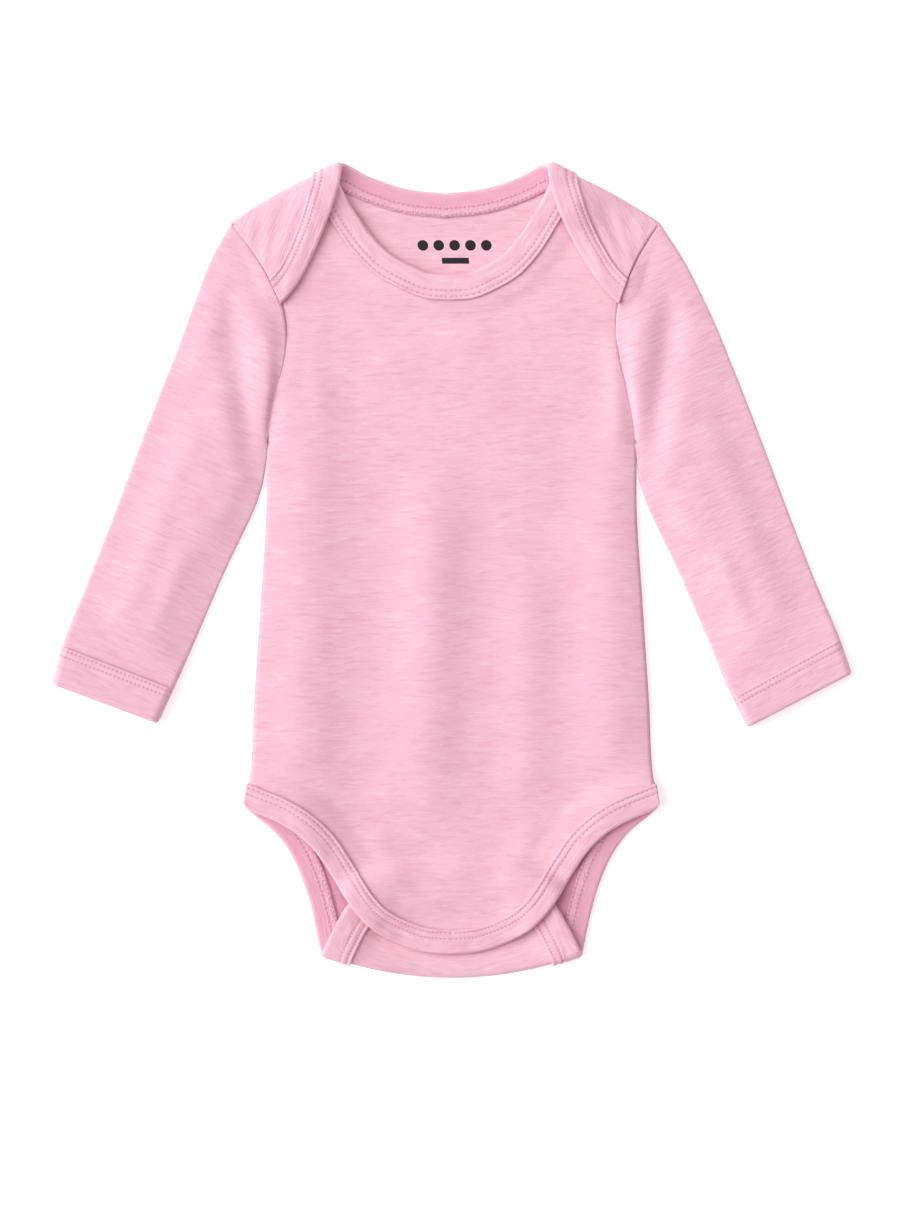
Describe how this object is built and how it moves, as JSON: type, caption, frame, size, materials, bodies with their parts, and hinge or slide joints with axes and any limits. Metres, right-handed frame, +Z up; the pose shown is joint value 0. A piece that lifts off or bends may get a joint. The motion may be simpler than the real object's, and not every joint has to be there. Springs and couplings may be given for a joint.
{
  "type": "baby bodysuit laid flat",
  "caption": "Pink slub-jersey baby bodysuit with long sleeves, an envelope neck and bound edges, laid flat with the front up.",
  "frame": {"origin": "middle of the footprint, on the surface that the garment lies on", "axes": "+Z up from the surface, +Y towards the neck, +X towards the sleeve on the right when the front is up and the neck points away"},
  "size_m": [0.3723, 0.3798, 0.0118],
  "materials": {
    "jersey_body": "soft slub jersey, matt",
    "jersey_binding": "soft jersey binding, matt, coverstitched"
  },
  "bodies": {
    "root": {"back_panel": "jersey_body", "front_panel": "jersey_body", "sleeve_left": "jersey_body", "sleeve_right": "jersey_body", "cuff_left": "jersey_binding", "cuff_right": "jersey_binding", "neck_binding_front": "jersey_binding", "neck_binding_back": "jersey_binding", "leg_binding_front": "jersey_binding", "leg_binding_back": "jersey_binding"}
  },
  "joints": []
}
